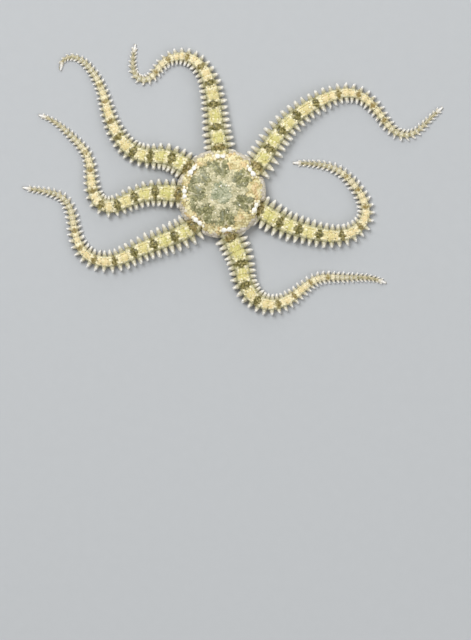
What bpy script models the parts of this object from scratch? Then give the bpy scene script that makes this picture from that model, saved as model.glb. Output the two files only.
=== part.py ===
"""A seven-armed brittle star, life size, lying mouth down with its arms thrown into curves.

The model is in metres with +Z up. Its origin is under the middle of its bounding box, on the
surface that it lies on. The disc roofs over the seven arms, which run under it to the mouth.
"""

from math import cos, exp, pi, radians, sin, tau

import bmesh
import bpy
from mathutils import Matrix, Vector

MM = 0.001
GAP = 0.3 * MM  # between neighbouring pieces
WELD = 0.001 * MM  # points nearer to each other than this are merged
OVERCUT = 1.0 * MM  # how far a cutter runs past what it cuts

# The disc: a low dome with a rounded rim that bulges between the arms.
DISC_RADIUS = 5.4 * MM
DISC_TOP = 3.1 * MM
DISC_FLOOR = 0.35 * MM
DISC_STEPS = 28
RIM_NOTCH_DEPTH = 0.12  # how far the rim draws in over an arm, as a share of its radius
RIM_NOTCH_SPREAD = radians(12)
RIM_NOTCH_START = 0.5  # nothing draws in nearer to the middle than this share of the radius

# Half of the disc's section, from the middle of its back over the rim to the middle of its
# belly, as shares of its radius and as heights.
DISC_PROFILE = (
    (0.0, DISC_TOP),
    (0.3, DISC_TOP - 0.03 * MM),
    (0.58, DISC_TOP - 0.22 * MM),
    (0.8, DISC_TOP - 0.55 * MM),
    (0.94, DISC_TOP - 1.1 * MM),
    (1.0, DISC_TOP - 1.75 * MM),
    (0.97, DISC_FLOOR + 0.35 * MM),
    (0.87, DISC_FLOOR),
    (0.0, DISC_FLOOR),
)

# The radial shields: a pair of long plates over the root of each arm.
SHIELD_LENGTH = 2.1 * MM
SHIELD_WIDTH = 0.95 * MM
SHIELD_THICKNESS = 0.7 * MM
SHIELD_RISE = 0.06 * MM  # of a shield's middle over the top of the disc's back
SHIELD_REACH = 3.25 * MM  # from the disc's middle to a shield's middle
SHIELD_SPREAD = radians(8.5)
SHIELD_SLOPE = radians(13)
SHIELD_SIDES = 6
SHIELD_NARROWING = 0.8  # the size of a shield's top over the size of its foot

# The mouth: a ring of seven jaws with a slit between each two, under the disc.
MOUTH_RADIUS = 1.9 * MM
MOUTH_BOTTOM = 0.12 * MM
MOUTH_TOP = 1.35 * MM
MOUTH_SIDES = 28
MOUTH_PIT_RADIUS = 0.72 * MM
MOUTH_PIT_DEPTH = 0.85 * MM
MOUTH_PIT_SIDES = 14
MOUTH_CUT_START = 0.1 * MM  # how far below the jaws the pit's and the slits' cutters start
SLIT_WIDTH = 0.26 * MM
SLIT_END = 1.35 * MM
SLIT_DEPTH = 0.6 * MM

# Each arm: its length from the disc's middle, and its bearing in degrees, anticlockwise from +X,
# at ten evenly spaced places along it.
ARMS = {
    "arm_1": (33.9, (30, 40, 60, 45, 30, 10, -45, -45, 40, 40)),
    "arm_2": (28.3, (95, 90, 100, 95, 105, 135, 195, 230, 105, 75)),
    "arm_3": (28.0, (135, 145, 150, 180, 140, 115, 105, 120, 155, 280)),
    "arm_4": (28.2, (185, 180, 175, 195, 200, 115, 95, 130, 140, 165)),
    "arm_5": (31.0, (230, 230, 205, 200, 205, 165, 110, 105, 165, 170)),
    "arm_6": (29.8, (255, 290, 295, 280, 320, 380, 400, 360, 360, 335)),
    "arm_7": (31.0, (340, 335, 330, 345, 355, 400, 470, 495, 530, 540)),
}
# Where an arm is parted into lengths, as shares of its own length.
ARM_LENGTHS = (("base", 0.30), ("inner", 0.47), ("middle", 0.63), ("outer", 0.80), ("tip", 1.0))

# Sizes along the free arm, from the disc's rim at 0 to the tip at 1.
HALF_WIDTHS = ((0.0, 1.08 * MM), (0.3, 0.85 * MM), (0.6, 0.56 * MM), (0.85, 0.38 * MM), (1.0, 0.22 * MM))
SPINE_REACHES = ((0.0, 1.05 * MM), (0.3, 0.74 * MM), (0.6, 0.52 * MM), (0.85, 0.33 * MM), (1.0, 0.22 * MM))
ROOT_HALF_WIDTH = 0.5 * MM  # beside the mouth
FULL_WIDTH_AT = 4.4 * MM  # from the disc's middle, where an arm has widened to its full size
ARM_HEIGHT = 1.5  # over half the width
ROUTE_STEP = 0.05 * MM
PLATE_LENGTH = 2.0 * MM  # one swelling of the arm, which stands for two of its joints
WAIST = 0.92

# Half of the arm's section, which is flat below, as parts of half its width and of its height.
SECTION = ((0.55, 0.0), (0.96, 0.28), (0.9, 0.68), (0.42, 1.0))

# The arm spines, in stations along both sides.
FIRST_SPINE = 5.8 * MM
SPINE_STEP_ROOT = 0.86 * MM
SPINE_STEP_TIP = 0.74 * MM
SPINE_RADIUS_ROOT = 0.29 * MM
SPINE_RADIUS_TIP = 0.17 * MM
SPINE_BLUNTNESS = 0.5  # the tip's radius over the root's
SPINE_SIDES = 4
SPINE_SINK = 0.3  # where a spine starts, as a share of half the arm's width
DOUBLE_UNTIL = 0.3  # two spines to a station as far as here, then one, by turns high and low
HIGH_SPINE = (0.62, radians(26))  # height of the root over the arm's height, and upward tilt
LOW_SPINE = (0.42, radians(-6))
SPINE_LEAN_ROOT = radians(4)  # towards the arm's tip
SPINE_LEAN_TIP = radians(24)
SPINE_THICKEST = 0.38  # of the arm's height where it stands, for its radius
SPINE_SHORTENING = 0.9  # at each try, until a spine is clear of the other arms
CUT_CLEARANCE = 0.3 * MM  # from a spine's middle to the end of the arm's length it stands on

COLOURS = {
    "disc": (0.34, 0.33, 0.19),
    "mouth": (0.62, 0.36, 0.14),
    "base": (0.50, 0.48, 0.23),
    "inner": (0.54, 0.49, 0.25),
    "middle": (0.60, 0.50, 0.28),
    "outer": (0.64, 0.54, 0.36),
    "tip": (0.66, 0.60, 0.48),
}
ROUGHNESS = 0.45


def clear_scene():
    for obj in list(bpy.data.objects):
        bpy.data.objects.remove(obj)


def new_collection(name):
    made = bpy.data.collections.new(name)
    bpy.context.scene.collection.children.link(made)
    return made


def material(name):
    made = bpy.data.materials.new(name)
    made.use_nodes = True
    surface = made.node_tree.nodes["Principled BSDF"]
    surface.inputs["Base Color"].default_value = (*COLOURS[name], 1.0)
    surface.inputs["Roughness"].default_value = ROUGHNESS
    surface.inputs["Metallic"].default_value = 0.0
    return made


def mesh_object(name, mesh, collection):
    made = bpy.data.objects.new(name, mesh)
    collection.objects.link(made)
    return made


def between(table, share):
    """The value at a share of the way along a short table of (share, value)."""
    for (low, start), (high, end) in zip(table, table[1:]):
        if share <= high:
            return start + (end - start) * max(0.0, share - low) / (high - low)
    return table[-1][1]


def bearing_of(flat):
    """The angle of a flat vector, anticlockwise from +X."""
    return flat.angle_signed(Vector((1.0, 0.0)))


def smooth_bearing(bearings, share):
    """The bearing at a share of the arm's length, on a smooth curve through the given ones."""
    place = min(max(share, 0.0), 1.0) * (len(bearings) - 1)
    index = min(int(place), len(bearings) - 2)
    part = place - index
    before = bearings[index - 1] if index else 2 * bearings[0] - bearings[1]
    start, end = bearings[index], bearings[index + 1]
    after = bearings[index + 2] if index + 2 < len(bearings) else 2 * end - start
    slope_in, slope_out = (end - before) / 2, (after - start) / 2
    square, cube = part**2, part**3
    return (
        start * (2 * cube - 3 * square + 1)
        + slope_in * (cube - 2 * square + part)
        + end * (3 * square - 2 * cube)
        + slope_out * (cube - square)
    )


class Arm:
    """The middle line of one arm on the floor, and the arm's sizes along it."""

    def __init__(self, length_mm, bearings):
        self.length = length_mm * MM
        self.bearings = bearings
        self.points = [Vector((0.0, 0.0, 0.0))]
        self.steps = round(self.length / ROUTE_STEP)
        for step in range(self.steps):
            heading = radians(smooth_bearing(bearings, (step + 0.5) / self.steps))
            move = Vector((cos(heading), sin(heading), 0.0)) * self.length / self.steps
            self.points.append(self.points[-1] + move)
        self.azimuth = bearing_of(self.point(FULL_WIDTH_AT).xy)

    def point(self, distance):
        place = min(max(distance / self.length, 0.0), 1.0) * self.steps
        index = min(int(place), self.steps - 1)
        return self.points[index].lerp(self.points[index + 1], place - index)

    def heading(self, distance):
        angle = radians(smooth_bearing(self.bearings, distance / self.length))
        return Vector((cos(angle), sin(angle), 0.0))

    def share(self, distance):
        return max(0.0, (distance - DISC_RADIUS) / (self.length - DISC_RADIUS))

    def half_width(self, distance):
        if distance < FULL_WIDTH_AT:
            widened = max(0.0, (distance - MOUTH_RADIUS) / (FULL_WIDTH_AT - MOUTH_RADIUS))
            return ROOT_HALF_WIDTH + (HALF_WIDTHS[0][1] - ROOT_HALF_WIDTH) * widened
        return between(HALF_WIDTHS, self.share(distance))


def section_curve(collection):
    """The arm's section, drawn for half a width of 1 with its flat foot on the axis."""
    curve = bpy.data.curves.new("arm_section", "CURVE")
    curve.dimensions = "2D"
    right = [(x, z * ARM_HEIGHT) for x, z in SECTION]
    outline = right + [(-x, z) for x, z in reversed(right)]
    spline = curve.splines.new("POLY")
    spline.points.add(len(outline) - 1)
    for point, (x, z) in zip(spline.points, outline):
        point.co = (x, z, 0.0, 1.0)
    spline.use_cyclic_u = True
    made = bpy.data.objects.new("arm_section", curve)
    made.hide_render = True
    made.display_type = "WIRE"
    collection.objects.link(made)
    return made


def arm_tube(name, arm, start, end, section, collection, grow=0.0):
    """The body of an arm from one distance to another, swept along the floor."""
    rings = max(3, round((end - start) / (PLATE_LENGTH / 2)) + 1)
    curve = bpy.data.curves.new(name, "CURVE")
    curve.dimensions = "3D"
    curve.twist_mode = "Z_UP"
    curve.bevel_mode = "OBJECT"
    curve.bevel_object = section
    curve.use_fill_caps = True
    spline = curve.splines.new("POLY")
    spline.points.add(rings - 1)
    for ring, point in enumerate(spline.points):
        distance = start + (end - start) * ring / (rings - 1)
        waist = WAIST if ring % 2 == 0 and not grow else 1.0
        point.co = (*arm.point(distance), 1.0)
        point.radius = arm.half_width(distance) * waist + grow
    swept = bpy.data.objects.new(name, curve)
    collection.objects.link(swept)
    return as_mesh(swept, collection)


def as_mesh(swept, collection):
    """The curve object made a closed mesh object of the same name."""
    bpy.context.view_layer.update()
    evaluated = swept.evaluated_get(bpy.context.evaluated_depsgraph_get())
    mesh = bpy.data.meshes.new_from_object(evaluated)
    name, matrix = swept.name, swept.matrix_world.copy()
    bpy.data.objects.remove(swept)
    shape = bmesh.new()
    shape.from_mesh(mesh)
    bmesh.ops.remove_doubles(shape, verts=shape.verts, dist=WELD)
    bmesh.ops.recalc_face_normals(shape, faces=shape.faces)
    shape.to_mesh(mesh)
    shape.free()
    made = mesh_object(name, mesh, collection)
    made.matrix_world = matrix
    return made


def primitive(name, collection, matrix, make, **sizes):
    shape = bmesh.new()
    make(shape, **sizes)
    shape.transform(matrix)
    mesh = bpy.data.meshes.new(name)
    shape.to_mesh(mesh)
    shape.free()
    return mesh_object(name, mesh, collection)


def combine(body, others, operation):
    """Joins a collection of closed meshes to the body, or cuts it with them, and applies it."""
    modifier = body.modifiers.new(operation.lower(), "BOOLEAN")
    modifier.operation = operation
    modifier.operand_type = "COLLECTION"
    modifier.collection = others
    modifier.solver = "EXACT"
    bpy.context.view_layer.update()
    evaluated = body.evaluated_get(bpy.context.evaluated_depsgraph_get())
    mesh = bpy.data.meshes.new_from_object(evaluated)
    body.modifiers.clear()
    body.data = mesh
    for obj in list(others.objects):
        bpy.data.objects.remove(obj)
    keep_largest(mesh)


def keep_largest(mesh):
    """Drops every closed surface of the mesh but the largest."""
    shape = bmesh.new()
    shape.from_mesh(mesh)
    bmesh.ops.triangulate(shape, faces=shape.faces)
    left, surfaces = set(shape.faces), []
    while left:
        edge_of_search = [left.pop()]
        surface = list(edge_of_search)
        while edge_of_search:
            face = edge_of_search.pop()
            for edge in face.edges:
                for other in edge.link_faces:
                    if other in left:
                        left.remove(other)
                        surface.append(other)
                        edge_of_search.append(other)
        surfaces.append(surface)
    surfaces.sort(key=lambda faces: sum(face.calc_area() for face in faces))
    for surface in surfaces[:-1]:
        bmesh.ops.delete(shape, geom=surface, context="FACES")
    shape.to_mesh(mesh)
    shape.free()


def spine_stations(arm, start, end):
    """Distances at which spines stand on one length of an arm, closer together towards its tip."""
    first, last = max(FIRST_SPINE, start + CUT_CLEARANCE), end - CUT_CLEARANCE
    share = arm.share((first + last) / 2)
    step = SPINE_STEP_ROOT + (SPINE_STEP_TIP - SPINE_STEP_ROOT) * share
    count = max(1, round((last - first) / step))
    return [first + (last - first) * index / count for index in range(count + 1)]


def spines_at(arm, index, distance):
    """The root height and upward tilt of each spine of a station."""
    if arm.share(distance) < DOUBLE_UNTIL:
        return (HIGH_SPINE, LOW_SPINE)
    return (HIGH_SPINE,) if index % 2 else (LOW_SPINE,)


def clear_of_neighbours(foot, direction, reach, others):
    """Shortens a spine until its tip is nearer to its own arm than to any other."""
    while reach > SPINE_RADIUS_TIP:
        tip = foot + direction * reach
        own = (tip - foot).length
        nearest = min(
            (tip - point).length for other in others for point in other.points[:: round(GAP / ROUTE_STEP)]
        )
        if nearest > own + GAP:
            break
        reach *= SPINE_SHORTENING
    return reach


def spine(name, arm, distance, side, height, tilt, others, collection):
    """One spine: a blunt, tapered rod whose root is sunk in the arm's side."""
    share = arm.share(distance)
    half = arm.half_width(distance)
    along = arm.heading(distance)
    across = Vector((-along.y, along.x, 0.0)) * side
    lean = SPINE_LEAN_ROOT + (SPINE_LEAN_TIP - SPINE_LEAN_ROOT) * share
    flat = across * cos(lean) + along * sin(lean)
    reach = half + between(SPINE_REACHES, share)
    reach = clear_of_neighbours(arm.point(distance), flat, reach, others) / cos(tilt)
    direction = flat * cos(tilt) + Vector((0.0, 0.0, sin(tilt)))
    foot = arm.point(distance) + Vector((0.0, 0.0, height * half * ARM_HEIGHT))
    start = foot + across * half * SPINE_SINK
    length = reach - half * SPINE_SINK
    radius = SPINE_RADIUS_ROOT + (SPINE_RADIUS_TIP - SPINE_RADIUS_ROOT) * share
    radius = min(radius, SPINE_THICKEST * half * ARM_HEIGHT)
    turn = direction.to_track_quat("Z", "Y").to_matrix().to_4x4()
    matrix = Matrix.Translation(start + direction * length / 2) @ turn
    return primitive(
        name,
        collection,
        matrix,
        bmesh.ops.create_cone,
        cap_ends=True,
        segments=SPINE_SIDES,
        radius1=radius,
        radius2=radius * SPINE_BLUNTNESS,
        depth=length,
    )


def arm_length(name, arm, start, end, others, section, collection, paint):
    """One length of an arm with the spines that stand on it."""
    body = arm_tube(name, arm, start, end, section, collection)
    spines = new_collection(name + "_spines")
    for index, distance in enumerate(spine_stations(arm, start, end)):
        for side in (-1, 1):
            for height, tilt in spines_at(arm, index, distance):
                spine("spine", arm, distance, side, height, tilt, others, spines)
    if spines.objects:
        combine(body, spines, "UNION")
    bpy.data.collections.remove(spines)
    body.data.materials.clear()
    body.data.materials.append(paint)
    return body


def rim_draw_in(angle, arms):
    """How far the disc's rim draws in at this angle, from 0 between the arms to 1 over one."""
    drawn = 0.0
    for arm in arms:
        apart = (angle - arm.azimuth + pi) % tau - pi
        drawn = max(drawn, exp(-((apart / RIM_NOTCH_SPREAD) ** 2)))
    return drawn


def turned_disc(collection):
    """The round disc, turned from its profile."""
    mesh = bpy.data.meshes.new("disc")
    edges = [(index, index + 1) for index in range(len(DISC_PROFILE) - 1)]
    mesh.from_pydata([(share * DISC_RADIUS, 0.0, height) for share, height in DISC_PROFILE], edges, [])
    disc = mesh_object("disc", mesh, collection)
    turning = disc.modifiers.new("turn", "SCREW")
    turning.steps = DISC_STEPS
    turning.render_steps = DISC_STEPS
    turning.use_merge_vertices = True
    turning.merge_threshold = WELD
    bpy.context.view_layer.update()
    evaluated = disc.evaluated_get(bpy.context.evaluated_depsgraph_get())
    disc.data = bpy.data.meshes.new_from_object(evaluated)
    disc.modifiers.clear()
    return disc


def place_shields(arms, collection):
    """A pair of low plates over the root of each arm, sloping down to the rim."""
    for arm in arms:
        for side in (-1, 1):
            turn = Matrix.Rotation(arm.azimuth + side * SHIELD_SPREAD, 4, "Z")
            height = DISC_TOP + SHIELD_RISE - SHIELD_THICKNESS / 2
            lift = Matrix.Translation((SHIELD_REACH, 0.0, height))
            slope = Matrix.Rotation(SHIELD_SLOPE, 4, "Y")
            stretch = Matrix.Diagonal((SHIELD_LENGTH / 2, SHIELD_WIDTH / 2, SHIELD_THICKNESS, 1.0))
            primitive(
                "shield",
                collection,
                turn @ lift @ slope @ stretch,
                bmesh.ops.create_cone,
                cap_ends=True,
                segments=SHIELD_SIDES,
                radius1=1.0,
                radius2=SHIELD_NARROWING,
                depth=1.0,
            )


def make_disc(arms, section, collection, paint):
    disc = turned_disc(collection)
    for vertex in disc.data.vertices:
        flat = vertex.co.xy
        outer = (flat.length / DISC_RADIUS - RIM_NOTCH_START) / (1.0 - RIM_NOTCH_START)
        if outer < 0.0:
            continue
        drawn = RIM_NOTCH_DEPTH * outer * rim_draw_in(bearing_of(flat), arms)
        vertex.co.xy = flat * (1.0 - drawn)
    shields = new_collection("shields")
    place_shields(arms, shields)
    combine(disc, shields, "UNION")
    hollows = new_collection("hollows")
    for arm in arms:
        arm_tube("channel", arm, MOUTH_RADIUS - GAP, DISC_RADIUS + OVERCUT, section, hollows, grow=GAP)
    depth = MOUTH_TOP + GAP + OVERCUT
    primitive(
        "mouth_hollow",
        hollows,
        Matrix.Translation((0.0, 0.0, depth / 2 - OVERCUT)),
        bmesh.ops.create_cone,
        cap_ends=True,
        segments=MOUTH_SIDES,
        radius1=MOUTH_RADIUS + GAP,
        radius2=MOUTH_RADIUS + GAP,
        depth=depth,
    )
    combine(disc, hollows, "DIFFERENCE")
    bpy.data.collections.remove(shields)
    bpy.data.collections.remove(hollows)
    disc.data.materials.clear()
    disc.data.materials.append(paint)
    return disc


def make_mouth(arms, collection, paint):
    """The ring of jaws: a low drum with a pit below, and a slit towards each arm."""
    mouth = primitive(
        "mouth_frame",
        collection,
        Matrix.Translation((0.0, 0.0, (MOUTH_TOP + MOUTH_BOTTOM) / 2)),
        bmesh.ops.create_cone,
        cap_ends=True,
        segments=MOUTH_SIDES,
        radius1=MOUTH_RADIUS,
        radius2=MOUTH_RADIUS,
        depth=MOUTH_TOP - MOUTH_BOTTOM,
    )
    cuts = new_collection("mouth_cuts")
    primitive(
        "pit",
        cuts,
        Matrix.Translation((0.0, 0.0, MOUTH_BOTTOM + MOUTH_PIT_DEPTH / 2 - MOUTH_CUT_START)),
        bmesh.ops.create_cone,
        cap_ends=True,
        segments=MOUTH_PIT_SIDES,
        radius1=MOUTH_PIT_RADIUS,
        radius2=MOUTH_PIT_RADIUS / 2,
        depth=MOUTH_PIT_DEPTH,
    )
    for arm in arms:
        middle = Matrix.Translation((SLIT_END / 2, 0.0, MOUTH_BOTTOM + SLIT_DEPTH / 2 - MOUTH_CUT_START))
        stretch = Matrix.Diagonal((SLIT_END, SLIT_WIDTH, SLIT_DEPTH, 1.0))
        matrix = Matrix.Rotation(arm.azimuth, 4, "Z") @ middle @ stretch
        primitive("slit", cuts, matrix, bmesh.ops.create_cube, size=1.0)
    combine(mouth, cuts, "DIFFERENCE")
    bpy.data.collections.remove(cuts)
    mouth.data.materials.clear()
    mouth.data.materials.append(paint)
    return mouth


def centre_on_floor(objects):
    """Moves the model so that the origin is under the middle of its bounding box."""
    corners = [obj.matrix_world @ vertex.co for obj in objects for vertex in obj.data.vertices]
    middle = Vector((0.0, 0.0, 0.0))
    for axis in (0, 1):
        values = [corner[axis] for corner in corners]
        middle[axis] = (min(values) + max(values)) / 2
    for obj in objects:
        obj.data.transform(Matrix.Translation(-middle))


def main():
    clear_scene()
    star = new_collection("brittle_star")
    guides = new_collection("guides")
    section = section_curve(guides)
    arms = {name: Arm(*facts) for name, facts in ARMS.items()}
    paints = {name: material(name) for name in COLOURS}
    made = [
        make_disc(list(arms.values()), section, star, paints["disc"]),
        make_mouth(list(arms.values()), star, paints["mouth"]),
    ]
    for name, arm in arms.items():
        others = [other for other in arms.values() if other is not arm]
        start = MOUTH_RADIUS + GAP
        for part, share in ARM_LENGTHS:
            end = share * arm.length
            stop = end - GAP if share < 1.0 else end
            made.append(arm_length(f"{name}_{part}", arm, start, stop, others, section, star, paints[part]))
            start = end
    centre_on_floor(made)


main()
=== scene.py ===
import random
from math import atan2, ceil, cos, hypot, pi, radians, sin, sqrt, tau

import bpy
import numpy as np
from mathutils import Matrix, Vector, kdtree


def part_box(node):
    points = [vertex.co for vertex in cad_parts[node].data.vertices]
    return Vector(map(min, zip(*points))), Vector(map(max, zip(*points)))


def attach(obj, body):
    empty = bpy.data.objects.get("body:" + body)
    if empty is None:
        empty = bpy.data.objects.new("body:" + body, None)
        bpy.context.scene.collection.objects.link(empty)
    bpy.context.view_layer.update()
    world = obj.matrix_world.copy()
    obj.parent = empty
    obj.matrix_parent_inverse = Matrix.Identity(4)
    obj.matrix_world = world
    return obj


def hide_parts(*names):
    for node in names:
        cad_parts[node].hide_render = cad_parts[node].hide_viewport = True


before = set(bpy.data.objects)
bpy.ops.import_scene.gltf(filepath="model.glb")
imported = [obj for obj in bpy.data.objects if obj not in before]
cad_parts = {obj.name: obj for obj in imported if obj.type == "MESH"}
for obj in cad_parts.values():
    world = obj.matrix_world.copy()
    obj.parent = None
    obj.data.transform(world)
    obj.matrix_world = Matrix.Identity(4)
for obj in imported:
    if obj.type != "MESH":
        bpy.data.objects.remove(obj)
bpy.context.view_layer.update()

print("stage: frame loaded,", len(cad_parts), "nodes")

mm = 0.001
up = Vector((0.0, 0.0, 1.0))
chance = random.Random(7)

lowMouth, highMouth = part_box("mouth_frame")
middle = Vector(((lowMouth.x + highMouth.x) / 2, (lowMouth.y + highMouth.y) / 2, 0.0))

# Each arm: its length from the disc's middle, the length of its first joints, both in mm, and
# how much of the usual reach its spines have; its bearing in degrees, anticlockwise from +X, at
# ten evenly spaced places; and where its dark spots are, in mm from the disc's middle. Lengths
# and bearings are those of the solids.
armRoutes = {
    1: (
        (33.9, 0.85, 1.0),
        (30, 40, 60, 45, 30, 10, -45, -45, 40, 40),
        (5.3, 7.8, 10.4, 12.9, 15.6, 18.5, 20.9, 23.0, 25.2),
    ),
    2: (
        (28.3, 0.75, 0.86),
        (95, 90, 100, 95, 105, 135, 195, 230, 105, 75),
        (5.4, 7.8, 10.5, 13.1, 15.3, 17.3, 19.6, 21.7),
    ),
    3: (
        (28.0, 0.75, 0.74),
        (135, 145, 150, 180, 140, 115, 105, 120, 155, 280),
        (5.1, 7.2, 9.7, 11.8, 14.3, 16.3, 18.8, 20.8),
    ),
    4: (
        (28.2, 0.79, 0.72),
        (185, 180, 175, 195, 200, 115, 95, 130, 140, 165),
        (5.1, 7.8, 10.3, 12.5, 14.5, 16.4, 18.9, 21.0),
    ),
    5: (
        (31.0, 0.82, 1.0),
        (230, 230, 205, 200, 205, 165, 110, 105, 165, 170),
        (5.2, 7.6, 10.2, 12.7, 15.2, 17.6, 19.8, 21.9),
    ),
    6: (
        (29.8, 0.72, 0.86),
        (255, 290, 295, 280, 320, 380, 400, 360, 360, 335),
        (5.5, 8.7, 11.3, 13.6, 16.1, 18.3, 20.7, 22.9),
    ),
    7: (
        (31.0, 0.82, 0.95),
        (340, 335, 330, 345, 355, 400, 470, 495, 530, 540),
        (4.9, 7.7, 10.0, 12.5, 15.2, 17.6, 20.1, 22.3, 24.4),
    ),
}

armSizes = {
    "discRadius": 5.4 * mm,
    "rootAt": 1.9 * mm,
    "rootHalfWidth": 0.5 * mm,
    "fullWidthAt": 4.4 * mm,
    "step": 0.05 * mm,
    "end": 0.8 * mm,  # at most this much of the arm's end has no joint
    # by the share of the free arm: half its width in mm, and a joint's length over the first one's
    "halfWidths": ((0.0, 1.08), (0.3, 0.85), (0.6, 0.47), (0.85, 0.25), (1.0, 0.14)),
    "jointShrink": ((0.0, 1.0), (0.4, 0.97), (0.6, 0.84), (0.85, 0.72), (1.0, 0.6)),
    "height": 1.5,  # over half the width
}


def between(table, share):
    for (low, start), (high, end) in zip(table, table[1:]):
        if share <= high:
            return start + (end - start) * max(0.0, share - low) / (high - low)
    return table[-1][1]


def smooth(value, low, high):  # from 0 at low to 1 at high
    part = min(1.0, max(0.0, (value - low) / (high - low)))
    return part * part * (3 - 2 * part)


def smoothBearing(bearings, share):
    place = min(max(share, 0.0), 1.0) * (len(bearings) - 1)
    index = min(int(place), len(bearings) - 2)
    part = place - index
    before = bearings[index - 1] if index else 2 * bearings[0] - bearings[1]
    start, end = bearings[index], bearings[index + 1]
    after = bearings[index + 2] if index + 2 < len(bearings) else 2 * end - start
    slopeIn, slopeOut = (end - before) / 2, (after - start) / 2
    square, cube = part**2, part**3
    return (
        start * (2 * cube - 3 * square + 1)
        + slopeIn * (cube - 2 * square + part)
        + end * (3 * square - 2 * cube)
        + slopeOut * (cube - square)
    )


def flatVector(angle):
    return Vector((cos(angle), sin(angle), 0.0))


def leftOf(heading):
    return Vector((-heading.y, heading.x, 0.0))


def turned(angle):  # the same angle, between a half turn either way
    return (angle + pi) % tau - pi


class Arm:
    def __init__(self, number, sizes, bearings, spotsMm):
        lengthMm, jointMm, self.spineReach = sizes
        self.number = number
        self.length = lengthMm * mm
        self.joint = jointMm * mm
        self.bearings = bearings
        self.spots = [spot * mm for spot in spotsMm]
        self.points = [middle.copy()]
        self.steps = round(self.length / armSizes["step"])
        for step in range(self.steps):
            move = self.heading((step + 0.5) / self.steps) * self.length / self.steps
            self.points.append(self.points[-1] + move)
        root = self.point(armSizes["fullWidthAt"]) - middle
        self.azimuth = atan2(root.y, root.x)
        self.tree = kdtree.KDTree(len(self.points))
        for index, point in enumerate(self.points):
            self.tree.insert(point, index)
        self.tree.balance()

    def point(self, distance):
        place = min(max(distance / self.length, 0.0), 1.0) * self.steps
        index = min(int(place), self.steps - 1)
        return self.points[index].lerp(self.points[index + 1], place - index)

    def heading(self, share):
        return flatVector(radians(smoothBearing(self.bearings, share)))

    def along(self, distance):
        return self.heading(distance / self.length)

    def share(self, distance):
        rim = armSizes["discRadius"]
        return max(0.0, (distance - rim) / (self.length - rim))

    def halfWidth(self, distance):
        full = armSizes["fullWidthAt"]
        if distance < full:
            start, narrow = armSizes["rootAt"], armSizes["rootHalfWidth"]
            widened = max(0.0, (distance - start) / (full - start))
            return narrow + (armSizes["halfWidths"][0][1] * mm - narrow) * widened
        return between(armSizes["halfWidths"], self.share(distance)) * mm

    def nearest(self, point):  # distance along the arm, and distance from its middle line
        spot, index, apart = self.tree.find(Vector((point.x, point.y, 0.0)))
        return index * armSizes["step"], apart

    def joints(self, first):  # the middle and the length of each
        distance, found = first, []
        while distance < self.length - armSizes["end"]:
            size = between(armSizes["jointShrink"], self.share(distance)) * self.joint
            found.append((distance + size / 2, size))
            distance += size
        return found

    def toSpot(self, distance):  # how far the nearest dark spot is
        return min(abs(distance - spot) for spot in self.spots)


arms = [Arm(number, *route) for number, route in armRoutes.items()]
azimuths = sorted(arm.azimuth % tau for arm in arms)
nextAzimuths = azimuths[1:] + [azimuths[0] + tau]
gaps = [((first + second) / 2, second - first) for first, second in zip(azimuths, nextAzimuths)]


def nearestArm(point):
    found = [(arm, arm.nearest(point)) for arm in arms]
    return min(found, key=lambda pair: pair[1][1])


def gapPlace(point):  # the width of the gap between arms here, and how far its middle line is
    flat = point - middle
    angle, radius = atan2(flat.y, flat.x), hypot(flat.x, flat.y)
    centre, width = min(gaps, key=lambda gap: abs(turned(angle - gap[0])))
    return width, abs(turned(angle - centre)) * radius


# Small tools for modelling.


def deselectAll():
    if bpy.context.mode != "OBJECT":
        bpy.ops.object.mode_set(mode="OBJECT")
    bpy.ops.object.select_all(action="DESELECT")


def selectOnly(obj):
    deselectAll()
    obj.select_set(True)
    bpy.context.view_layer.objects.active = obj


def openAll():  # the active object's mesh, all selected
    bpy.ops.object.mode_set(mode="EDIT")
    bpy.ops.mesh.select_all(action="SELECT")


def begin(name):  # names the new primitive and opens it
    obj = bpy.context.active_object
    obj.name = obj.data.name = name
    openAll()
    return obj


def pick(obj, chosen, kind="VERT"):  # selects vertices or faces by their place
    bpy.ops.object.mode_set(mode="EDIT")
    bpy.ops.mesh.select_mode(type=kind)
    bpy.ops.mesh.select_all(action="DESELECT")
    bpy.ops.object.mode_set(mode="OBJECT")
    for item in obj.data.vertices if kind == "VERT" else obj.data.polygons:
        item.select = bool(chosen(item.co if kind == "VERT" else item.center))
    bpy.ops.object.mode_set(mode="EDIT")


def resize(x, y, z):  # what is selected, about the world's origin
    bpy.ops.transform.resize(value=(x, y, z), center_override=(0, 0, 0))


def shift(x, y, z):
    bpy.ops.transform.translate(value=(x, y, z))


def drawUp(rings):  # extrudes what is selected through rings of (height, size)
    for (low, size), (high, newSize) in zip(rings, rings[1:]):
        grown = newSize / size
        bpy.ops.mesh.extrude_region_move(TRANSFORM_OT_translate={"value": (0, 0, high - low)})
        bpy.ops.transform.resize(value=(grown, grown, 1))


def ringForm(name, facts):  # a round form, drawn up from its lowest ring
    radius = facts["rings"][0][1]
    deselectAll()
    bpy.ops.mesh.primitive_circle_add(vertices=facts["sides"], radius=radius, fill_type="NGON")
    form = begin(name)
    drawUp(facts["rings"])
    return form


def wedgeForm(name, facts):  # a rounded wedge, narrow towards -X
    deselectAll()
    bpy.ops.mesh.primitive_plane_add(size=1)
    form = begin(name)
    bpy.ops.mesh.bevel(offset=facts["corner"], segments=facts["cornerSteps"], affect="VERTICES")
    pick(form, lambda co: co.x < 0)
    resize(1, facts["narrow"], 1)
    openAll()
    drawUp(facts["rings"])
    return form


def close(obj):  # normals outwards, and smooth but for sharp edges
    selectOnly(obj)
    openAll()
    bpy.ops.mesh.normals_make_consistent(inside=False)
    bpy.ops.object.mode_set(mode="OBJECT")
    bpy.ops.object.shade_smooth_by_angle(angle=radians(60))


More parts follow.
